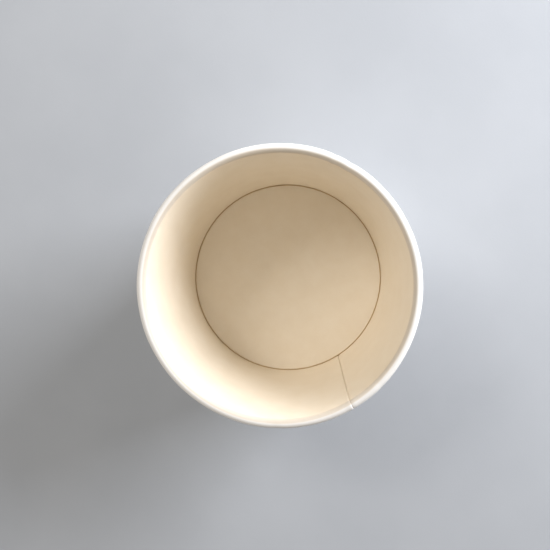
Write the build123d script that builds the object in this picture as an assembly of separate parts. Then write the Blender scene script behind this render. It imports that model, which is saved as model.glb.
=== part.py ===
from build123d import *
from math import acos, asin, atan2, cos, degrees, hypot, sin
import os

# Paper soup container, upright, on its foot. It is two blanks of coated paperboard:
#   sidewall   a cone wrapped from one blank, lapped and sealed at one side seam, rolled
#              outward into a bead at the mouth and turned inward into a hem at the foot
#   base_disc  a round blank with its edge folded down into a skirt, gripped by that hem
# The origin is the middle of the foot and +Z runs up the container's axis. The inner
# end of the wrapped blank is cut on the +X side, and the outer end laps over it.

# ---- Driving sizes, in millimetres and degrees ----
mouth_diameter = 90.0       # over the rolled rim
height = 62.0               # from the foot to the top of the rim
foot_diameter = 73.0        # over the wall, at the foot
board = 0.40                # thickness of the coated paperboard
rim_diameter = 3.0          # of the rolled bead's section
rim_edge_gap = 0.30         # from the bead's rolled-in edge back to the lapped wall
lap_width = 8.0             # how far the outer end laps over the inner end
seam_ramp = 0.7             # length in which the outer end steps over the inner end
base_recess = 7.0           # top face of the base disc, above the foot
hem_gap = 1.1               # from the hem's cut edge up to the base disc
wall_fold = 0.08            # radius inside the two folds at the foot
disc_fold = 0.30            # radius inside the fold of the base disc
seal_gap = 0.02             # the sealing film, on each side of the skirt
skirt_gap = 0.30            # from the skirt's cut edge down to the folded foot

# ---- Worked-out sizes ----
rim_radius = rim_diameter / 2
rim_centre = (mouth_diameter / 2 - rim_radius, height - rim_radius)
foot_edge = (foot_diameter / 2, 0.0)
slot_width = board + 2 * seal_gap   # inside the folded foot, where the skirt sits
hem_height = base_recess - board - hem_gap
rim_turn = 360 - degrees(acos((rim_radius - 2 * board - rim_edge_gap) / rim_radius))

# The wall's outer face runs from the foot's edge to the bead, which it meets at a tangent.
rise = rim_centre[1] - foot_edge[1]
spread = rim_centre[0] - foot_edge[0]
taper = atan2(spread, rise) - asin((rim_radius - board) / hypot(spread, rise))
along = (sin(taper), cos(taper))        # up the wall
outward = (cos(taper), -sin(taper))     # square to the wall, away from the axis

mean_radius = (mouth_diameter + foot_diameter) / 4
ramp_angle = degrees(seam_ramp / mean_radius)
lap_angle = degrees(lap_width / mean_radius)


def moved(point, direction, distance):
    """The point that lies a distance from another, in the plane of the section."""
    return (point[0] + direction[0] * distance, point[1] + direction[1] * distance)


def at_height(point, level):
    """Where the line up the wall's slope through a point reaches a height."""
    return moved(point, along, (level - point[1]) / along[1])


def board_face(depth):
    """One face of the wall's blank, from the hem's edge, round the foot and up to the rim.

    A depth of 0 is the coated face, inside the container, and one board is the face
    outside it. The face is an edge chain of lines and arcs in the XZ plane.
    """
    inner_wall = moved(foot_edge, outward, -board)
    wall = moved(inner_wall, outward, depth)
    hem = moved(inner_wall, outward, -slot_width - depth)
    web_level = board - depth
    bead_start = moved(rim_centre, outward, depth - rim_radius)
    folded = FilletPolyline(
        moved(hem, along, hem_height / along[1]),
        at_height(hem, web_level),
        at_height(wall, web_level),
        bead_start,
        radius=wall_fold + depth,
    )
    bead = CenterArc(rim_centre, rim_radius - depth, 180 - degrees(taper), -rim_turn)
    return folded, bead


def wall_section(depth):
    """The section of one thickness of the wall's blank, whose inner face lies at a depth."""
    inner_fold, inner_bead = board_face(depth)
    outer_fold, outer_bead = board_face(depth + board)
    edges = [*inner_fold.edges(), inner_bead.edge(), *outer_fold.edges(), outer_bead.edge()]
    hem_edge = Line(inner_fold @ 0, outer_fold @ 0)
    rolled_edge = Line(inner_bead @ 1, outer_bead @ 1)
    flat = make_face(Wire([*edges, hem_edge.edge(), rolled_edge.edge()]))
    return Plane.XZ * flat


def build_sidewall():
    """The wrapped, lapped, rolled and hemmed wall, as one solid."""
    inner_end = wall_section(0)
    outer_end = wall_section(board)
    wrap = revolve(inner_end, Axis.Z, 360 - ramp_angle)
    lap = revolve(outer_end, Axis.Z, lap_angle)
    ramp = loft([Rot(Z=-ramp_angle) * inner_end, outer_end], ruled=True)
    wall = wrap + ramp + lap
    # The foot is ironed level, so the lap stands no lower than the rest of it.
    level = Box(2 * mouth_diameter, 2 * mouth_diameter, height)
    return wall - Pos(0, 0, -height / 2) * level


def disc_face(depth, edge_level):
    """One face of the base blank, from its middle to the skirt's edge: 0 is the upper face."""
    skirt = moved(foot_edge, outward, -board - seal_gap - depth)
    level = base_recess - depth
    return FilletPolyline(
        (0, level),
        at_height(skirt, level),
        at_height(skirt, edge_level),
        radius=disc_fold + board - depth,
    )


def build_base_disc():
    """The base disc with its skirt folded down."""
    edge_level = board + skirt_gap
    upper = disc_face(0, edge_level)
    lower = disc_face(board, edge_level)
    axis_edge = Line(upper @ 0, lower @ 0)
    skirt_edge = Line(upper @ 1, lower @ 1)
    loop = Wire([*upper.edges(), *lower.edges(), axis_edge.edge(), skirt_edge.edge()])
    return revolve(Plane.XZ * make_face(loop), Axis.Z, 360)


os.makedirs("parts", exist_ok=True)
export_step(build_sidewall(), "parts/sidewall.step")
export_step(build_base_disc(), "parts/base_disc.step")
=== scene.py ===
"""Looks of a paper soup container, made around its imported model.

The container stands on its foot, with the middle of the foot at the origin and +Z up its
axis. Its two blanks of coated paperboard are made again here as finished sheets: the
wrapped wall, with its lapped seam, rolled bead and folded foot, and the base disc with
its skirt. Every length that a mesh takes is in metres.
"""
import logging
import math
from dataclasses import dataclass
from enum import Enum
from typing import Any, Callable, Iterator, Optional, Sequence, Union

import bmesh
import bpy
from mathutils import Matrix, Vector, noise


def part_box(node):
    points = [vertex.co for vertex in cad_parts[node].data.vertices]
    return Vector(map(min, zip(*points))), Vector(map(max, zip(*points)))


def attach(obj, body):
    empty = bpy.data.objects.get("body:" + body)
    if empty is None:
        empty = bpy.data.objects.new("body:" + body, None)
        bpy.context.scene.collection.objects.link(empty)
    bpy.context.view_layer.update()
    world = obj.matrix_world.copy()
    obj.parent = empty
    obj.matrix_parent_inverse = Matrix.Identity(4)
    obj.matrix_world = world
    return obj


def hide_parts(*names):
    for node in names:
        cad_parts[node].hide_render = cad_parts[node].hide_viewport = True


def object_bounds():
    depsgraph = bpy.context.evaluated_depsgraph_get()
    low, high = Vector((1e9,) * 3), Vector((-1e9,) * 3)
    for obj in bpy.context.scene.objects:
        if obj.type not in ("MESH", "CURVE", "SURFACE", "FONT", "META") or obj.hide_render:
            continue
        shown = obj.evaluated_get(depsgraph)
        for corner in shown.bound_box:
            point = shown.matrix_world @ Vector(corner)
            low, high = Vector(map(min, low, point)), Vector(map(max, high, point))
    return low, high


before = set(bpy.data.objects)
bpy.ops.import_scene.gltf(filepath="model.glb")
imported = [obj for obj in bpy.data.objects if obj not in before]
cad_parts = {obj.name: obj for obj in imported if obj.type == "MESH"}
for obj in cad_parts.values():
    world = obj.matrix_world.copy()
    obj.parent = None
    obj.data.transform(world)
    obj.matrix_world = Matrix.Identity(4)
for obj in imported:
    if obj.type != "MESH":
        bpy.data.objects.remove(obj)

LOG = logging.getLogger("soup_container")
MM = 0.001
CAD_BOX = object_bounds()

Colour = tuple[float, float, float]
Operand = Union["Signal", float, Colour]


# ---------------------------------------------------------------- shader arithmetic

class Signal:
    """A shader socket that takes part in Python arithmetic.

    Numbers go through Math nodes, vectors through Vector Math nodes and colours through
    Mix nodes, so that a colour is never turned grey.
    """

    def __init__(self, bench: "Bench", socket: bpy.types.NodeSocket) -> None:
        """Wraps one output socket.

        Args:
            bench: The bench whose node tree the socket belongs to.
            socket: The output socket.
        """
        self.bench = bench
        self.socket = socket

    def _combine(self, operation: str, first: Operand, second: Operand) -> "Signal":
        """Adds the node that combines two operands.

        Args:
            operation: ADD, SUBTRACT or MULTIPLY.
            first: The left operand.
            second: The right operand.

        Returns:
            The result's signal.
        """
        kinds = {"VALUE": "ShaderNodeMath", "VECTOR": "ShaderNodeVectorMath"}
        kind = self.socket.type
        if kind in kinds:
            inputs = {0: first, 1: second}
            return self.bench.node(kinds[kind], {"operation": operation}, inputs)
        settings = {"data_type": "RGBA", "blend_type": operation}
        return self.bench.node("ShaderNodeMix", settings, {0: 1.0, 6: first, 7: second}, 2)

    def __add__(self, other: Operand) -> "Signal":
        """The sum of this signal and another operand."""
        return self._combine("ADD", self, other)

    def __radd__(self, other: Operand) -> "Signal":
        """The sum of another operand and this signal."""
        return self._combine("ADD", other, self)

    def __sub__(self, other: Operand) -> "Signal":
        """This signal less another operand."""
        return self._combine("SUBTRACT", self, other)

    def __rsub__(self, other: Operand) -> "Signal":
        """Another operand less this signal."""
        return self._combine("SUBTRACT", other, self)

    def __mul__(self, other: Operand) -> "Signal":
        """The product of this signal and another operand."""
        return self._combine("MULTIPLY", self, other)

    def __rmul__(self, other: Operand) -> "Signal":
        """The product of another operand and this signal."""
        return self._combine("MULTIPLY", other, self)

    def step(self, low: float, high: float) -> "Signal":
        """Rises smoothly from 0 where this value is low to 1 where it is high.

        Args:
            low: The value at which the result is 0.
            high: The value at which the result is 1. It may be less than low.

        Returns:
            The smoothed step, between 0 and 1.
        """
        settings = {"interpolation_type": "SMOOTHSTEP"}
        if low < high:
            return self.bench.node("ShaderNodeMapRange", settings, {0: self, 1: low, 2: high})
        return 1 - self.step(high, low)


class Bench:
    """One material's node tree, and the ways to lay nodes on it."""

    def __init__(self, name: str) -> None:
        """Starts an empty material.

        Args:
            name: The material's name.
        """
        self.material = bpy.data.materials.new(name)
        self.material.use_nodes = True
        self.tree = self.material.node_tree
        self.tree.nodes.clear()

    def node(self, kind: str, settings: dict[str, Any], inputs: dict[Any, Operand],
             output: Union[int, str] = 0) -> Signal:
        """Adds one node, sets it and feeds it.

        Args:
            kind: The node's type, such as ShaderNodeTexNoise.
            settings: The node's own properties, which are set first.
            inputs: A value or a signal for each socket, by its name or its number.
            output: The name or the number of the socket to give back.

        Returns:
            The signal of the chosen output.
        """
        node = self.tree.nodes.new(kind)
        for name, value in settings.items():
            setattr(node, name, value)
        for key, value in inputs.items():
            socket = node.inputs[key]
            if isinstance(value, Signal):
                self.tree.links.new(value.socket, socket)
            elif isinstance(value, tuple) and socket.type == "RGBA":
                socket.default_value = (*value, 1.0)
            else:
                socket.default_value = value
        return Signal(self, node.outputs[output])

    def place(self) -> Signal:
        """The point being shaded, in the container's own frame, in metres."""
        return self.node("ShaderNodeTexCoord", {}, {}, "Object")

    def part_of(self, vector: Signal, axis: str) -> Signal:
        """One component of a vector, where axis is X, Y or Z."""
        return self.node("ShaderNodeSeparateXYZ", {}, {0: vector}, axis)

    def radius(self, vector: Signal) -> Signal:
        """How far a point is from the container's axis, in metres."""
        flat = vector * (1.0, 1.0, 0.0)
        return self.node("ShaderNodeVectorMath", {"operation": "LENGTH"}, {0: flat}, "Value")

    def grain(self, vector: Signal, size: float, detail: float = 3.0,
              roughness: float = 0.5) -> Signal:
        """A soft random pattern.

        Args:
            vector: The point, in metres, stretched as the pattern should be.
            size: The size of the pattern's largest grains, in metres.
            detail: How many finer layers it has.
            roughness: How strong the finer layers are.

        Returns:
            The pattern, about 0.5.
        """
        inputs = {"Vector": vector, "Scale": 1 / size, "Detail": detail,
                  "Roughness": roughness}
        return self.node("ShaderNodeTexNoise", {}, inputs, "Fac")

    def blend(self, factor: Operand, first: Operand, second: Operand) -> Signal:
        """Mixes two colours.

        Args:
            factor: 0 for the first colour and 1 for the second.
            first: The first colour.
            second: The second colour.

        Returns:
            The mixed colour.
        """
        inputs = {0: factor, 6: first, 7: second}
        return self.node("ShaderNodeMix", {"data_type": "RGBA"}, inputs, 2)

    def relief(self, height: Signal, depth: float, below: Optional[Signal] = None) -> Signal:
        """Turns a pattern into a relief of the surface.

        Args:
            height: The pattern, from 0 to 1.
            depth: How deep the relief is, in metres.
            below: A relief that this one lies on.

        Returns:
            The surface's normal.
        """
        inputs = {"Height": height, "Distance": depth, "Strength": 1.0}
        if below is not None:
            inputs["Normal"] = below
        return self.node("ShaderNodeBump", {}, inputs)

    def finish(self, **surface: Operand) -> bpy.types.Material:
        """Closes the tree with its shader.

        Args:
            **surface: The shader's sockets, with underscores for the spaces in names.

        Returns:
            The finished material.
        """
        inputs = {name.replace("_", " "): value for name, value in surface.items()}
        shader = self.node("ShaderNodeBsdfPrincipled", {}, inputs)
        self.node_output(shader)
        return self.material

    def node_output(self, shader: Signal) -> None:
        """Links a shader to the material's output."""
        output = self.tree.nodes.new("ShaderNodeOutputMaterial")
        self.tree.links.new(shader.socket, output.inputs["Surface"])


# ------------------------------------------------------------------------ finishes

@dataclass(frozen=True)
class Tint:
    """A colour painted over the board in some places, standing in for light or shade there.

    Attributes:
        colour: The colour.
        strength: How much of it covers the board, from 0 to 1.
    """

    colour: Colour
    strength: float


# Painted light: whitens the bead's crest and outer side, where the key light falls on them.
PAINTED_CREST_LIGHT = Tint((0.90, 0.88, 0.85), 0.90)
# Painted shade: darkens the bead's inner shoulder, which is turned away from the key light.
PAINTED_SHOULDER_SHADE = Tint((0.42, 0.36, 0.31), 0.50)
# Painted shade: darkens the seam where the base disc meets the wall.
PAINTED_SEAM_SHADE = Tint((0.60, 0.38, 0.08), 0.60)

Mask = Callable[[Bench, Signal], Signal]


@dataclass(frozen=True)
class FilmedBoard:
    """Cream board under a thin satin film, as on every face that meets the food.

    Attributes:
        name: The material's name.
        light: The board's colour where its fibres lie thin.
        deep: Its colour where they lie thick.
        satin: The film's roughness.
        cloud_size: The size of the board's soft clouds.
        fibre_size: The width of a bunch of fibres.
        fibre_stretch: How much longer a bunch is than it is wide.
        fibre_depth: How deep the fibres show in the film.
        film_size: The size of the film's own slow ripple.
        film_depth: How deep that ripple is.
        coat: How much of the film's gloss lies over the board.
    """

    name: str
    light: Colour
    deep: Colour
    satin: float = 0.46
    cloud_size: float = 7.0 * MM
    fibre_size: float = 0.35 * MM
    fibre_stretch: float = 4.0
    fibre_depth: float = 0.010 * MM
    film_size: float = 4.0 * MM
    film_depth: float = 0.05 * MM
    coat: float = 0.12

    def material(self, places: Sequence[tuple[Tint, Mask]]) -> bpy.types.Material:
        """Makes the finish.

        Args:
            places: Each tint of painted light or shade with its mask, which gives 1 where the tint
                lies and 0 off it.

        Returns:
            The material.
        """
        bench = Bench(self.name)
        place = bench.place()
        clouds = bench.grain(place, self.cloud_size, 4.0, 0.55)
        fibres = bench.grain(place * (1.0, 1.0, self.fibre_stretch), self.fibre_size, 5.0, 0.6)
        ripple = bench.grain(place, self.film_size, 2.0)
        tone = (clouds * 0.7 + fibres * 0.3).step(0.30, 0.70)
        colour = bench.blend(tone, self.deep, self.light)
        for tint, mask in places:
            colour = bench.blend(mask(bench, place) * tint.strength, colour, tint.colour)
        film = bench.relief(ripple, self.film_depth)
        normal = bench.relief(fibres, self.fibre_depth, film)
        roughness = self.satin + (fibres - 0.5) * 0.16 + (clouds - 0.5) * 0.10
        return bench.finish(Base_Color=colour, Roughness=roughness, Normal=normal,
                            Coat_Weight=self.coat, Coat_Roughness=0.30, IOR=1.47)


@dataclass(frozen=True)
class WhiteBoard:
    """The plain white outer face, coated but not printed.

    Attributes:
        name: The material's name.
        light: The face's colour.
        deep: Its colour in the hollows of the board.
        rubbed: Its colour where the foot is rubbed on the table.
        roughness: How matt it is.
        cloud_size: The size of the pulp's soft clouds.
        cloud_depth: How deep they are.
        fibre_size: The width of a bunch of fibres.
        fibre_depth: How deep the fibres show in the coat.
        scuff_size: The size of the scuffs at the foot.
        scuff_height: How far up from the table the foot is rubbed.
    """

    name: str = "white_outer_face"
    light: Colour = (0.86, 0.85, 0.82)
    deep: Colour = (0.81, 0.79, 0.755)
    rubbed: Colour = (0.66, 0.62, 0.56)
    roughness: float = 0.52
    cloud_size: float = 9.0 * MM
    cloud_depth: float = 0.08 * MM
    fibre_size: float = 0.45 * MM
    fibre_depth: float = 0.014 * MM
    scuff_size: float = 1.3 * MM
    scuff_height: float = 0.9 * MM

    def material(self) -> bpy.types.Material:
        """Makes the finish.

        Returns:
            The material.
        """
        bench = Bench(self.name)
        place = bench.place()
        clouds = bench.grain(place, self.cloud_size, 4.0, 0.6)
        fibres = bench.grain(place * (1.0, 1.0, 3.0), self.fibre_size, 5.0, 0.6)
        scuffs = bench.grain(place, self.scuff_size, 3.0).step(0.50, 0.72)
        heel = bench.part_of(place, "Z").step(self.scuff_height, 0.0)
        face = bench.blend((clouds * 0.6 + fibres * 0.4).step(0.3, 0.7), self.deep, self.light)
        colour = bench.blend(heel * (0.25 + scuffs * 0.6), face, self.rubbed)
        pulp = bench.relief(clouds, self.cloud_depth)
        normal = bench.relief(fibres, self.fibre_depth, pulp)
        roughness = self.roughness + (fibres - 0.5) * 0.20 + heel * 0.15
        return bench.finish(Base_Color=colour, Roughness=roughness, Normal=normal, IOR=1.46)


@dataclass(frozen=True)
class CutEdge:
    """The bare edge of the board, where the blank was cut.

    Attributes:
        name: The material's name.
        light: The colour of the pulp.
        deep: Its colour between the fibres.
        fibre_size: The width of a fibre.
        fibre_depth: How far the fibres stand out.
    """

    name: str = "cut_edge"
    light: Colour = (0.68, 0.58, 0.44)
    deep: Colour = (0.42, 0.33, 0.22)
    fibre_size: float = 0.16 * MM
    fibre_depth: float = 0.04 * MM

    def material(self) -> bpy.types.Material:
        """Makes the finish.

        Returns:
            The material.
        """
        bench = Bench(self.name)
        fibres = bench.grain(bench.place(), self.fibre_size, 5.0, 0.7)
        colour = bench.blend(fibres.step(0.35, 0.65), self.deep, self.light)
        normal = bench.relief(fibres, self.fibre_depth)
        roughness = 0.86 + (fibres - 0.5) * 0.2
        return bench.finish(Base_Color=colour, Roughness=roughness, Normal=normal)


@dataclass(frozen=True)
class StudioFloor:
    """The plain pale floor.

    Attributes:
        name: The material's name.
        light: The floor's colour.
        deep: Its colour in its faint clouds.
        cloud_size: The size of those clouds.
        grain_size: The size of its fine grain.
        grain_depth: How deep that grain is.
    """

    name: str = "studio_floor"
    light: Colour = (0.46, 0.48, 0.51)
    deep: Colour = (0.43, 0.45, 0.48)
    cloud_size: float = 60.0 * MM
    grain_size: float = 0.8 * MM
    grain_depth: float = 0.02 * MM

    def material(self) -> bpy.types.Material:
        """Makes the finish.

        Returns:
            The material.
        """
        bench = Bench(self.name)
        place = bench.place()
        clouds = bench.grain(place, self.cloud_size, 4.0)
        fine = bench.grain(place, self.grain_size, 3.0)
        colour = bench.blend(clouds.step(0.3, 0.7), self.deep, self.light)
        roughness = 0.85 + (clouds - 0.5) * 0.1
        return bench.finish(Base_Color=colour, Roughness=roughness,
                            Normal=bench.relief(fine, self.grain_depth))


# ------------------------------------------------------------------ sheets of board

class Face(Enum):
    """The faces of a blank, each with its place in the mesh's list of materials."""

    FILMED = 0
    PLAIN = 1
    CUT = 2


class Zone(Enum):
    """The runs and bends of the two blanks' sections."""

    HEM = "hem"
    HEM_FOLD = "hem_fold"
    WEB = "web"
    HEEL_FOLD = "heel_fold"
    WALL = "wall"
    BEAD = "bead"
    DISC = "disc"
    FOLD = "fold"
    SKIRT = "skirt"


@dataclass(frozen=True)
class Station:
    """One point of a blank's section, on its filmed face.

    Attributes:
        radius: How far the point is from the container's axis.
        level: Its height.
        side: The direction from the filmed face to the plain face, as (radius, level).
        zone: The run or bend that it belongs to.
        share: How far along that run or bend it is, from 0 to 1.
    """

    radius: float
    level: float
    side: tuple[float, float]
    zone: Zone
    share: float

    def at_depth(self, depth: float) -> tuple[float, float]:
        """The radius and level of the point that lies a depth under the filmed face."""
        return self.radius + self.side[0] * depth, self.level + self.side[1] * depth


class Section:
    """A blank's section, drawn run by run and bend by bend along its filmed face.

    The plain face lies to the right of the way that the section is drawn.
    """

    def __init__(self, radius: float, level: float, heading: float) -> None:
        """Starts a section.

        Args:
            radius: Where it starts, from the axis.
            level: Where it starts, above the foot.
            heading: The way it starts, in radians: 0 is away from the axis.
        """
        self.at = (radius, level)
        self.heading = heading
        self.stations: list[Station] = []

    def _side(self) -> tuple[float, float]:
        """The direction of the plain face from here."""
        return math.sin(self.heading), -math.cos(self.heading)

    def _mark(self, zone: Zone, share: float) -> None:
        """Adds a station here, unless one stands here already.

        Args:
            zone: The run or bend that it belongs to.
            share: How far along that it is.
        """
        if self.stations and share == 0:
            return
        self.stations.append(Station(*self.at, self._side(), zone, share))

    def run(self, zone: Zone, length: float, steps: int) -> "Section":
        """Draws a straight run.

        Args:
            zone: The run.
            length: Its length.
            steps: Into how many steps it is divided.

        Returns:
            The section itself.
        """
        self._mark(zone, 0)
        radius, level = self.at
        for step in range(1, steps + 1):
            gone = length * step / steps
            self.at = (radius + math.cos(self.heading) * gone,
                       level + math.sin(self.heading) * gone)
            self._mark(zone, step / steps)
        return self

    def bend(self, zone: Zone, turn: float, radius: float, steps: int) -> "Section":
        """Draws a round bend.

        Args:
            zone: The bend.
            turn: How far it turns, in radians, with a turn to the left above 0.
            radius: The radius of the filmed face in the bend.
            steps: Into how many steps it is divided.

        Returns:
            The section itself.
        """
        self._mark(zone, 0)
        hand = math.copysign(1.0, turn)
        side = self._side()
        centre = (self.at[0] - side[0] * radius * hand, self.at[1] - side[1] * radius * hand)
        start = self.heading
        for step in range(1, steps + 1):
            self.heading = start + turn * step / steps
            side = self._side()
            self.at = (centre[0] + side[0] * radius * hand, centre[1] + side[1] * radius * hand)
            self._mark(zone, step / steps)
        return self


def eased(share: float) -> float:
    """A smooth step: 0 below 0, 1 above 1 and an easy rise between."""
    share = min(1.0, max(0.0, share))
    return share * share * (3 - 2 * share)


def between(value: float, low: float, high: float) -> float:
    """How far a value has gone from low to high, eased, from 0 to 1."""
    return eased((value - low) / (high - low))


@dataclass(frozen=True)
class Column:
    """One upright cut through a blank.

    Attributes:
        angle: Where the cut stands round the axis, in radians.
        depth: How far the blank has moved under the filmed face of its first turn.
    """

    angle: float
    depth: float


Shaper = Callable[[Station, Column, float, float], tuple[float, float, float]]


class SheetMesh:
    """Turns the section of a blank and a row of columns into one closed skin."""

    def __init__(self, name: str, stations: Sequence[Station], columns: Sequence[Column],
                 board: float, closed: bool) -> None:
        """Takes the sheet's layout.

        Args:
            name: The piece's name.
            stations: The section of the blank.
            columns: The cuts at which the section is placed, in order.
            board: The thickness of the blank.
            closed: Whether the last column joins the first.
        """
        self.name = name
        self.stations = list(stations)
        self.columns = list(columns)
        self.board = board
        self.closed = closed

    def _loop(self, column: Column, shape: Shaper) -> Iterator[tuple[float, float, float]]:
        """The points of one cut: up the filmed face and back down the plain face.

        Args:
            column: The cut.
            shape: Gives a point from its station, its column, its depth under the first
                turn's filmed face and its depth in the board.

        Yields:
            Each point.
        """
        for station in self.stations:
            yield shape(station, column, column.depth, 0.0)
        for station in reversed(self.stations):
            yield shape(station, column, column.depth + self.board, self.board)

    def build(self, shape: Shaper) -> bpy.types.Object:
        """Builds the skin.

        Args:
            shape: Gives each point, as in _loop.

        Returns:
            The new object, with its faces sorted by Face.
        """
        count = len(self.stations)
        size = 2 * count
        on_axis = self.stations[0].radius < 1e-9
        points: list[tuple[float, float, float]] = []
        for column in self.columns:
            points.extend(self._loop(column, shape))
        faces: list[tuple[int, ...]] = []
        kinds: list[int] = []
        turns = len(self.columns) if self.closed else len(self.columns) - 1
        for turn in range(turns):
            here = turn * size
            there = (turn + 1) % len(self.columns) * size
            for step in range(size):
                after = (step + 1) % size
                if step == count - 1:
                    kind = Face.CUT
                elif step == size - 1:
                    if on_axis:
                        continue
                    kind = Face.CUT
                else:
                    kind = Face.FILMED if step < count - 1 else Face.PLAIN
                faces.append((here + step, here + after, there + after, there + step))
                kinds.append(kind.value)
        if not self.closed:
            last = (len(self.columns) - 1) * size
            for step in range(count - 1):
                back = size - 1 - step
                faces.append((step, back, back - 1, step + 1))
                faces.append((last + step, last + step + 1, last + back - 1, last + back))
                kinds.extend([Face.CUT.value] * 2)
        return self._object(points, faces, kinds)

    def _object(self, points: Sequence[tuple[float, float, float]],
                faces: Sequence[tuple[int, ...]], kinds: Sequence[int]) -> bpy.types.Object:
        """Makes the object of a skin, with doubled points joined and edges kept crisp.

        Args:
            points: The skin's points.
            faces: Its faces, as numbers of points.
            kinds: Each face's place in the list of materials.

        Returns:
            The new object.
        """
        mesh = bpy.data.meshes.new(self.name)
        mesh.from_pydata([tuple(point) for point in points], [], [tuple(face) for face in faces])
        mesh.polygons.foreach_set("material_index", kinds)
        mesh.polygons.foreach_set("use_smooth", [True] * len(faces))
        mesh.validate()
        mesh.update()
        piece = bpy.data.objects.new(self.name, mesh)
        bpy.context.scene.collection.objects.link(piece)
        weld_and_turn_out(piece)
        return piece


def weld_and_turn_out(piece: bpy.types.Object) -> None:
    """Joins doubled points, turns every face outwards and marks the cut edges sharp.

    Args:
        piece: The mesh object.
    """
    skin = bmesh.new()
    skin.from_mesh(piece.data)
    bmesh.ops.remove_doubles(skin, verts=skin.verts, dist=1e-7)
    bmesh.ops.dissolve_degenerate(skin, edges=skin.edges, dist=1e-8)
    bmesh.ops.recalc_face_normals(skin, faces=skin.faces)
    for edge in skin.edges:
        kinds = {face.material_index for face in edge.link_faces}
        edge.smooth = len(kinds) == 1
    skin.to_mesh(piece.data)
    skin.free()


# ----------------------------------------------------------------- the two blanks

@dataclass
class Board:
    """Sizes that the two blanks share, with the places where they meet.

    Attributes:
        thickness: The board's thickness.
        seal_film: The film on each side of the skirt.
        foot_radius: The wall's outer radius at the foot.
        mouth_radius: The outer radius of the rolled bead.
        height: The container's height.
        bead_radius: The radius of the bead's section.
        base_level: The top face of the base disc, above the foot.
    """

    thickness: float = 0.40 * MM
    seal_film: float = 0.02 * MM
    foot_radius: float = 36.5 * MM
    mouth_radius: float = CAD_BOX[1].x
    height: float = CAD_BOX[1].z
    bead_radius: float = 1.5 * MM
    base_level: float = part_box("base_disc")[1].z

    @property
    def bead_centre(self) -> tuple[float, float]:
        """The middle of the bead's section, as radius and level."""
        return self.mouth_radius - self.bead_radius, self.height - self.bead_radius

    @property
    def taper(self) -> float:
        """The wall's lean, with the bead at a tangent to it.

        Returns:
            The angle from upright, in radians.
        """
        spread = self.bead_centre[0] - self.foot_radius
        rise = self.bead_centre[1]
        reach = self.bead_radius - self.thickness
        return math.atan2(spread, rise) - math.asin(reach / math.hypot(spread, rise))

    def wall_radius(self, level: float, depth: float) -> float:
        """The radius of the wall at a level, a depth under its filmed face."""
        inner = self.foot_radius - self.thickness / math.cos(self.taper)
        return inner + level * math.tan(self.taper) + depth / math.cos(self.taper)


@dataclass(frozen=True)
class Dent:
    """A small kink in the rolled bead.

    Attributes:
        angle: Where it is, in degrees round from the seam.
        width: How wide it is, in degrees.
        depth: How far the bead is pushed towards the axis.
    """

    angle: float
    width: float
    depth: float

    def push(self, angle: float) -> float:
        """How far the bead is pushed in at an angle, in degrees."""
        away = (angle - self.angle + 180) % 360 - 180
        return self.depth * math.exp(-(away / self.width) ** 2)


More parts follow.
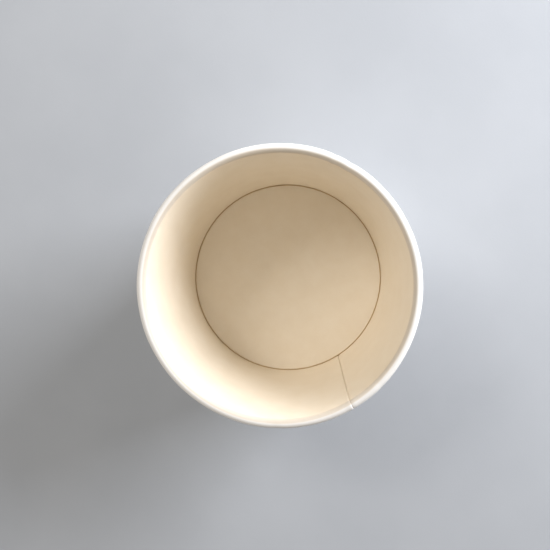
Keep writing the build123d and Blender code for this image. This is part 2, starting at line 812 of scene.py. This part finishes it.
@dataclass
class WrappedSidewall:
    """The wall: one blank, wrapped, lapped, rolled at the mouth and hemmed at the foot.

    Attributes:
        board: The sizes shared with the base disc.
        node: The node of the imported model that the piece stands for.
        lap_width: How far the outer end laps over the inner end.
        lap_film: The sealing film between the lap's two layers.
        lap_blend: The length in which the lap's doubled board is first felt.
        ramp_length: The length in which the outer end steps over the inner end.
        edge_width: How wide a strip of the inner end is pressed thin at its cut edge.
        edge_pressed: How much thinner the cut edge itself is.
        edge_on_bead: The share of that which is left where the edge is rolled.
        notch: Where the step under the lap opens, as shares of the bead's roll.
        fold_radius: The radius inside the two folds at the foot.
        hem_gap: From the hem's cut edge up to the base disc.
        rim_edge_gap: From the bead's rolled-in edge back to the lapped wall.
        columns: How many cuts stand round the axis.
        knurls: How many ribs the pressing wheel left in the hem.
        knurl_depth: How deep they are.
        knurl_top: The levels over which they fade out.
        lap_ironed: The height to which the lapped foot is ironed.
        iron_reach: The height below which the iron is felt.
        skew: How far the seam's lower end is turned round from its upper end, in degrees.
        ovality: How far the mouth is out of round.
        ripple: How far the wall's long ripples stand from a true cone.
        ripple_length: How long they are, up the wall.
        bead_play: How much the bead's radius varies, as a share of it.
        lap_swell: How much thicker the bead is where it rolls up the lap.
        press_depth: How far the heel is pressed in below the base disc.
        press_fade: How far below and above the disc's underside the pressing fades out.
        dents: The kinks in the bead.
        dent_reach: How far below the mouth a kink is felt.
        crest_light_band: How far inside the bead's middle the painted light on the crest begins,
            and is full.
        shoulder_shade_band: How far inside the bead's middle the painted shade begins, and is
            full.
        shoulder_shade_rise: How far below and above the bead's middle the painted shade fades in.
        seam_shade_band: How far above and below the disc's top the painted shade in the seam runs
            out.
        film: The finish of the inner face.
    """

    board: Board
    node: str = "sidewall"
    lap_width: float = 8.0 * MM
    lap_film: float = 0.002 * MM
    lap_blend: float = 2.0 * MM
    ramp_length: float = 0.5 * MM
    edge_width: float = 1.0 * MM
    edge_pressed: float = 0.16 * MM
    edge_on_bead: float = 0.4
    notch: tuple[float, float] = (0.22, 0.42)
    fold_radius: float = 0.08 * MM
    hem_gap: float = 1.1 * MM
    rim_edge_gap: float = 0.30 * MM
    columns: int = 600
    knurls: int = 120
    knurl_depth: float = 0.06 * MM
    knurl_top: tuple[float, float] = (4.4 * MM, 5.3 * MM)
    lap_ironed: float = 0.50 * MM
    iron_reach: float = 3.0 * MM
    skew: float = 1.1
    ovality: float = 0.12 * MM
    ripple: float = 0.05 * MM
    ripple_length: float = 38.0 * MM
    bead_play: float = 0.025
    lap_swell: float = 0.05
    press_depth: float = 0.06 * MM
    press_fade: tuple[float, float] = (0.6 * MM, 0.9 * MM)
    dents: tuple[Dent, ...] = (Dent(117.0, 1.6, 0.16 * MM), Dent(124.0, 1.2, 0.12 * MM),
                               Dent(214.0, 2.4, 0.10 * MM), Dent(327.0, 2.0, 0.10 * MM))
    dent_reach: float = 7.0 * MM
    crest_light_band: tuple[float, float] = (0.7 * MM, 0.1 * MM)
    shoulder_shade_band: tuple[float, float] = (0.1 * MM, 0.8 * MM)
    shoulder_shade_rise: tuple[float, float] = (0.4 * MM, 1.0 * MM)
    seam_shade_band: tuple[float, float] = (0.22 * MM, 0.1 * MM)
    film: FilmedBoard = FilmedBoard("filmed_wall", light=(0.92, 0.835, 0.70),
                                    deep=(0.89, 0.795, 0.65))

    def section(self) -> list[Station]:
        """Draws the wall's section, from the hem's edge round the foot and up to the bead.

        Returns:
            The stations of the filmed face.
        """
        board, taper, fold = self.board, self.board.taper, self.fold_radius
        thick = board.thickness
        slot = thick + 2 * board.seal_film
        hem_top = board.base_level - thick - self.hem_gap
        first_turn, second_turn = math.pi / 2 + taper, math.pi / 2 - taper
        first_cut = fold * math.tan(first_turn / 2)
        second_cut = fold * math.tan(second_turn / 2)
        slope = 1 / math.cos(taper)
        hem_radius = board.wall_radius(hem_top, 0) - slot * slope
        rim = board.bead_centre
        wall_foot = (board.wall_radius(thick, 0), thick)
        wall_top = (rim[0] - board.bead_radius * math.cos(taper),
                    rim[1] + board.bead_radius * math.sin(taper))
        wall_run = math.dist(wall_foot, wall_top)
        edge = board.bead_radius - 2 * thick - self.rim_edge_gap
        roll = 2 * math.pi - math.acos(edge / board.bead_radius)
        section = Section(hem_radius, hem_top, -math.pi / 2 - taper)
        section.run(Zone.HEM, (hem_top - thick) * slope - first_cut, 7)
        section.bend(Zone.HEM_FOLD, first_turn, fold, 5)
        section.run(Zone.WEB, slot * slope - first_cut - second_cut, 1)
        section.bend(Zone.HEEL_FOLD, second_turn, fold, 5)
        section.run(Zone.WALL, wall_run - second_cut, 26)
        section.bend(Zone.BEAD, -roll, board.bead_radius, 28)
        return section.stations

    def cuts(self) -> list[Column]:
        """Places the cuts, from the inner end's cut edge to the outer end's.

        Returns:
            The columns, which go once round and then on over the lap.
        """
        mean = (self.board.foot_radius + self.board.mouth_radius) / 2
        ramp, lap = self.ramp_length / mean, self.lap_width / mean
        turn = 2 * math.pi
        pressed = self.edge_width / mean
        edge_steps, ramp_steps, lap_steps = 8, 8, 20
        made = [Column(pressed * step / edge_steps, 0.0) for step in range(edge_steps)]
        made += [Column(pressed + (turn - ramp - pressed) * step / self.columns, 0.0)
                 for step in range(self.columns + 1)]
        over = self.board.thickness + self.lap_film
        for step in range(1, ramp_steps + 1):
            share = step / ramp_steps
            made.append(Column(turn - ramp * (1 - share), over * eased(share)))
        for step in range(1, lap_steps + 1):
            made.append(Column(turn + lap * step / lap_steps, over))
        return made

    def lapped(self, angle: float) -> float:
        """How much of the lap's doubled board is felt at an angle.

        Args:
            angle: Where round the axis, in radians.

        Returns:
            The share, from 0 to 1.
        """
        mean = (self.board.foot_radius + self.board.mouth_radius) / 2
        away = ((angle + math.pi) % (2 * math.pi) - math.pi) * mean
        before = 1 + (away + self.ramp_length) / self.lap_blend
        after = 1 - (away - self.lap_width) / self.lap_blend
        return eased(before) * eased(after)

    def ironed(self, level: float, lapped: float) -> float:
        """The level to which a point of the lapped foot is ironed.

        Args:
            level: The point's level before ironing, below 0 in the lap's outer layer.
            lapped: How much of the lap is felt there, from 0 to 1.

        Returns:
            The new level.
        """
        thick, free = self.board.thickness, self.iron_reach
        if level >= free:
            return level
        if level <= thick:
            flat = (level + thick) / (2 * thick) * self.lap_ironed
        else:
            flat = self.lap_ironed + (level - thick) / (free - thick) * (free - self.lap_ironed)
        return max(0.0, level + (flat - level) * lapped)

    def out_of_round(self, angle: float, level: float) -> float:
        """How far the wall stands from a true cone.

        Args:
            angle: Where round the axis, in radians.
            level: The height.

        Returns:
            The distance, away from the axis.
        """
        free = between(level, self.board.base_level + 3 * MM, self.board.height)
        oval = self.ovality * math.cos(2 * (angle - 0.9)) + 0.4 * self.ovality * math.cos(
            3 * angle + 0.4)
        around = Vector((math.cos(angle) * 3.1, math.sin(angle) * 3.1, level / self.ripple_length))
        waves = self.ripple * noise.noise(around) * 2 * between(level, 10 * MM, 22 * MM)
        kinks = sum(dent.push(math.degrees(angle)) for dent in self.dents)
        near_rim = between(level, self.board.height - self.dent_reach,
                           self.board.height - 1 * MM)
        return oval * free + waves - kinks * near_rim

    def ramp_depth(self, station: Station, column: Column, depth: float) -> float:
        """The depth of a point, with the step under the lap closed on the bead's crest.

        Args:
            station: The point's place in the section.
            column: The cut that it is in.
            depth: Its depth under the first turn's filmed face.

        Returns:
            The new depth.
        """
        if station.zone is not Zone.BEAD or not 0 < column.depth < self.board.thickness:
            return depth
        closed = 1 - between(station.share, *self.notch)
        gone = column.depth / self.board.thickness
        return depth + column.depth * closed * (gone ** 4 - 1)

    def lifted(self, station: Station, column: Column, in_board: float) -> float:
        """How far a point is raised towards the filmed face.

        Args:
            station: The point's place in the section.
            column: The cut that it is in.
            in_board: Its depth under its own filmed face.

        Returns:
            The distance: below 0 by the cut edge, and above it where the bead swells.
        """
        lift = 0.0
        if in_board == 0 and station.zone in (Zone.WALL, Zone.BEAD):
            share = self.edge_on_bead if station.zone is Zone.BEAD else 1.0
            gone = column.angle * station.radius / self.edge_width
            lift -= self.edge_pressed * share * (1 - eased(gone))
        if station.zone is Zone.BEAD:
            around = Vector((math.cos(column.angle) * 5.3, math.sin(column.angle) * 5.3, 7.1))
            swell = self.bead_play * noise.noise(around) * 2
            swell += self.lap_swell * self.lapped(column.angle)
            lift += swell * eased(station.share * 4) * self.board.bead_radius
        return lift

    def pushed(self, station: Station, column: Column, level: float) -> float:
        """How far the foot's tools push a point of the plain face outwards.

        Args:
            station: The point's place in the section.
            column: The cut that it is in.
            level: The point's height.

        Returns:
            The distance, away from the axis.
        """
        if station.zone is Zone.HEM:
            rib = 0.5 - 0.5 * math.cos(self.knurls * column.angle)
            low, high = self.knurl_top
            return self.knurl_depth * rib * between(station.level, high, low)
        if station.zone in (Zone.WALL, Zone.HEEL_FOLD):
            under = self.board.base_level - self.board.thickness
            below, above = self.press_fade
            return self.press_depth * (between(level, under - below, under + above) - 1)
        return 0.0

    def shape(self, station: Station, column: Column, depth: float,
              in_board: float) -> tuple[float, float, float]:
        """Places one point of the wall.

        Args:
            station: The point's place in the section.
            column: The cut that it is in.
            depth: Its depth under the first turn's filmed face.
            in_board: Its depth under its own filmed face.

        Returns:
            The point.
        """
        depth = self.ramp_depth(station, column, depth)
        depth -= self.lifted(station, column, in_board)
        radius, level = station.at_depth(depth)
        if in_board > 0:
            radius += self.pushed(station, column, level)
        level = self.ironed(level, self.lapped(column.angle))
        radius += self.out_of_round(column.angle, level)
        angle = column.angle + math.radians(self.skew) * (1 - level / self.board.height)
        return radius * math.cos(angle), radius * math.sin(angle), level

    def seam_shade_mask(self, bench: Bench, place: Signal) -> Signal:
        """The painted shade low on the wall's filmed face, in the seam where the disc meets it.

        Args:
            bench: The bench that the mask is made on.
            place: The point being shaded.

        Returns:
            The mask.
        """
        uneven = (bench.grain(place, 2.6 * MM, 3.0) - 0.5) * (0.5 * MM)
        level = bench.part_of(place, "Z") + uneven
        above, below = self.seam_shade_band
        return level.step(self.board.base_level + above, self.board.base_level - below)

    def shoulder_shade_mask(self, bench: Bench, place: Signal) -> Signal:
        """The inner shoulder of the bead, painted darker as painted shade where it is turned away
        from the key light.

        Args:
            bench: The bench that the mask is made on.
            place: The point being shaded.

        Returns:
            The mask.
        """
        middle, level = self.board.bead_centre
        start, full = self.shoulder_shade_band
        below, above = self.shoulder_shade_rise
        inner = bench.radius(place).step(middle - start, middle - full)
        return inner * bench.part_of(place, "Z").step(level - below, level + above)

    def crest_light_mask(self, bench: Bench, place: Signal) -> Signal:
        """The bead's crest and outer side, painted whiter as painted light where they catch the
        key light.

        Args:
            bench: The bench that the mask is made on.
            place: The point being shaded.

        Returns:
            The mask.
        """
        middle = self.board.bead_centre[0]
        start, full = self.crest_light_band
        return bench.radius(place).step(middle - start, middle - full)

    def build(self) -> bpy.types.Object:
        """Builds and dresses the wall.

        Returns:
            The finished piece.
        """
        sheet = SheetMesh("wrapped_sidewall", self.section(), self.cuts(),
                          self.board.thickness, closed=False)
        piece = sheet.build(self.shape)
        # The tints are painted light and shade: painted light on the bead's crest, painted shade
        # on its inner shoulder and painted shade in the seam at the disc.
        places = ((PAINTED_CREST_LIGHT, self.crest_light_mask), (PAINTED_SHOULDER_SHADE, self.shoulder_shade_mask),
                  (PAINTED_SEAM_SHADE, self.seam_shade_mask))
        for finish in (self.film.material(places), WhiteBoard().material(),
                       CutEdge().material()):
            piece.data.materials.append(finish)
        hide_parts(self.node)
        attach(piece, "root")
        return piece


@dataclass
class SeatedBaseDisc:
    """The base: one round blank with its edge folded down into a skirt.

    Attributes:
        board: The sizes shared with the wall.
        node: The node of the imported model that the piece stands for.
        fold_radius: The radius inside the fold.
        skirt_gap: From the skirt's cut edge down to the folded foot.
        columns: How many cuts stand round the axis.
        dish: How far the middle of the disc hangs below its edge.
        ripple: How far the disc's soft ripples stand from flat.
        film: The finish of the upper face.
    """

    board: Board
    node: str = "base_disc"
    fold_radius: float = 0.09 * MM
    skirt_gap: float = 0.30 * MM
    columns: int = 360
    dish: float = 0.25 * MM
    ripple: float = 0.10 * MM
    film: FilmedBoard = FilmedBoard("filmed_base", light=(0.91, 0.825, 0.69),
                                    deep=(0.88, 0.785, 0.64))

    def section(self) -> list[Station]:
        """Draws the disc's section, from its middle out and down to the skirt's edge.

        Returns:
            The stations of the filmed face.
        """
        board, taper = self.board, self.board.taper
        turn = math.pi / 2 + taper
        bend_radius = self.fold_radius + board.thickness
        slope = 1 / math.cos(taper)
        corner = board.wall_radius(board.base_level, 0) - board.seal_film * slope
        cut = bend_radius * math.tan(turn / 2)
        drop = (board.base_level - board.thickness - self.skirt_gap) * slope - cut
        section = Section(0.0, board.base_level, 0.0)
        section.run(Zone.DISC, corner - cut, 30)
        section.bend(Zone.FOLD, -turn, bend_radius, 8)
        section.run(Zone.SKIRT, drop, 6)
        return section.stations

    def shape(self, station: Station, column: Column, depth: float,
              in_board: float) -> tuple[float, float, float]:
        """Places one point of the disc.

        Args:
            station: The point's place in the section.
            column: The cut that it is in.
            depth: Its depth under the filmed face.
            in_board: The same depth.

        Returns:
            The point.
        """
        radius, level = station.at_depth(depth)
        x, y = radius * math.cos(column.angle), radius * math.sin(column.angle)
        if station.zone is Zone.DISC:
            share = station.share
            middle = 1 - share * share
            soft = noise.noise(Vector((x / (17 * MM), y / (17 * MM), 3.7)))
            level -= self.dish * middle * middle
            level += self.ripple * soft * eased((1 - share) * 5)
        return x, y, level

    def seam_shade_mask(self, bench: Bench, place: Signal) -> Signal:
        """The painted shade round the disc's fold, in the seam where it meets the wall.

        Args:
            bench: The bench that the mask is made on.
            place: The point being shaded.

        Returns:
            The mask.
        """
        uneven = (bench.grain(place, 2.6 * MM, 3.0) - 0.5) * (0.35 * MM)
        edge = self.board.wall_radius(self.board.base_level, 0)
        return (bench.radius(place) + uneven).step(edge - 0.52 * MM, edge - 0.22 * MM)

    def build(self) -> bpy.types.Object:
        """Builds and dresses the disc.

        Returns:
            The finished piece.
        """
        columns = [Column(2 * math.pi * step / self.columns, 0.0)
                   for step in range(self.columns)]
        sheet = SheetMesh("seated_base_disc", self.section(), columns,
                          self.board.thickness, closed=True)
        piece = sheet.build(self.shape)
        for finish in (self.film.material(((PAINTED_SEAM_SHADE, self.seam_shade_mask),)),
                       WhiteBoard("plain_underside").material(),
                       CutEdge("skirt_edge").material()):
            piece.data.materials.append(finish)
        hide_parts(self.node)
        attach(piece, "root")
        return piece


# ------------------------------------------------------------------------- studio

def from_axis(azimuth: float, elevation: float) -> Vector:
    """The direction at an azimuth and an elevation.

    Args:
        azimuth: The angle round from +X, in degrees.
        elevation: The angle up from level, in degrees.

    Returns:
        The direction, one unit long.
    """
    turn, rise = math.radians(azimuth), math.radians(elevation)
    return Vector((math.cos(rise) * math.cos(turn), math.cos(rise) * math.sin(turn),
                   math.sin(rise)))


@dataclass(frozen=True)
class Softbox:
    """A square soft light that faces the container's mouth.

    Attributes:
        name: The light's name.
        azimuth: Where it hangs, in degrees from the seam.
        elevation: How high it hangs, in degrees above the mouth.
        distance: How far it is from the middle of the mouth.
        size: The length of its side.
        watts: Its power.
        colour: Its colour.
    """

    name: str
    azimuth: float
    elevation: float
    distance: float
    size: float
    watts: float
    colour: Colour = (1.0, 1.0, 1.0)

    def hang(self, aim: Vector) -> bpy.types.Object:
        """Hangs the light.

        Args:
            aim: The point that it faces.

        Returns:
            The light.
        """
        lamp = bpy.data.lights.new(self.name, "AREA")
        lamp.shape = "SQUARE"
        lamp.size = self.size
        lamp.energy = self.watts
        lamp.color = self.colour
        holder = bpy.data.objects.new(self.name, lamp)
        away = from_axis(self.azimuth, self.elevation)
        holder.location = aim + away * self.distance
        holder.rotation_euler = away.to_track_quat("Z", "Y").to_euler()
        bpy.context.scene.collection.objects.link(holder)
        return holder


@dataclass(frozen=True)
class Viewpoint:
    """A camera that looks down into the mouth.

    Attributes:
        azimuth: Where it hangs, in degrees from the seam.
        elevation: How high it hangs, in degrees above the mouth.
        distance: How far it is from what it looks at.
        aside: What it looks at, as x and y from the axis, in the bead's plane.
        roll: How far it is turned about its own line of sight, in degrees.
        field: The angle of its view, in degrees.
    """

    azimuth: float = 91.77
    elevation: float = 84.93
    distance: float = 204.45 * MM
    aside: tuple[float, float] = (-3.71 * MM, 1.31 * MM)
    roll: float = 235.75
    field: float = 45.82

    def place(self, level: float) -> bpy.types.Object:
        """Places the camera and makes it the scene's.

        Args:
            level: The height of the bead's plane.

        Returns:
            The camera.
        """
        away = from_axis(self.azimuth, self.elevation)
        up = from_axis(self.azimuth, self.elevation + 90)
        right = up.cross(away)
        turn = math.radians(self.roll)
        across = right * math.cos(turn) + up * math.sin(turn)
        upward = up * math.cos(turn) - right * math.sin(turn)
        lens = bpy.data.cameras.new("mouth_camera")
        lens.angle = math.radians(self.field)
        lens.clip_start = 5 * MM
        camera = bpy.data.objects.new("mouth_camera", lens)
        turned = Matrix((across, upward, away)).transposed().to_4x4()
        spot = Vector((*self.aside, level)) + away * self.distance
        camera.matrix_world = Matrix.Translation(spot) @ turned
        bpy.context.scene.collection.objects.link(camera)
        bpy.context.scene.camera = camera
        return camera


@dataclass
class Studio:
    """The floor, the lights and the camera round the container.

    Attributes:
        floor_width: The width of the floor.
        ambient: The strength of the light that comes from all round.
        ambient_colour: Its colour.
        viewpoint: The camera.
        lights: The soft lights.
    """

    floor_width: float = 3.0
    ambient: float = 0.32
    ambient_colour: Colour = (1.0, 0.94, 0.86)
    viewpoint: Viewpoint = Viewpoint()
    lights: tuple[Softbox, ...] = (
        Softbox("key", azimuth=90.0, elevation=17.0, distance=0.60, size=0.36, watts=7.2,
                colour=(0.93, 0.95, 1.0)),
        Softbox("fill", azimuth=191.0, elevation=47.0, distance=0.70, size=0.24, watts=1.8,
                colour=(1.0, 0.97, 0.93)),
        Softbox("low", azimuth=290.0, elevation=14.0, distance=0.70, size=0.30, watts=0.30,
                colour=(1.0, 0.97, 0.95)),
    )

    def lay_floor(self) -> bpy.types.Object:
        """Lays the plain floor under the foot.

        Returns:
            The floor.
        """
        half = self.floor_width / 2
        corners = [(-half, -half, 0), (half, -half, 0), (half, half, 0), (-half, half, 0)]
        mesh = bpy.data.meshes.new("floor")
        mesh.from_pydata(corners, [], [(0, 1, 2, 3)])
        floor = bpy.data.objects.new("floor", mesh)
        floor.data.materials.append(StudioFloor().material())
        bpy.context.scene.collection.objects.link(floor)
        return floor

    def fill_room(self) -> None:
        """Fills the room with its even light and sets how the picture is developed."""
        scene = bpy.context.scene
        world = bpy.data.worlds.new("studio")
        world.use_nodes = True
        background = world.node_tree.nodes["Background"]
        background.inputs["Color"].default_value = (*self.ambient_colour, 1.0)
        background.inputs["Strength"].default_value = self.ambient
        scene.world = world
        scene.view_settings.view_transform = "Standard"

    def build(self, board: Board) -> None:
        """Builds the studio.

        Args:
            board: The container's sizes.
        """
        self.fill_room()
        self.lay_floor()
        mouth = Vector((0, 0, board.height))
        for light in self.lights:
            light.hang(mouth)
        self.viewpoint.place(board.bead_centre[1])


def main() -> None:
    """Builds the container and its studio, and reports each piece."""
    logging.basicConfig(level=logging.INFO, format="%(name)s: %(message)s")
    board = Board()
    LOG.info("wall leans %.2f degrees", math.degrees(board.taper))
    for maker in (WrappedSidewall(board), SeatedBaseDisc(board)):
        piece = maker.build()
        LOG.info("%s: %d faces", piece.name, len(piece.data.polygons))
    Studio().build(board)


if __name__ == "__main__":
    main()
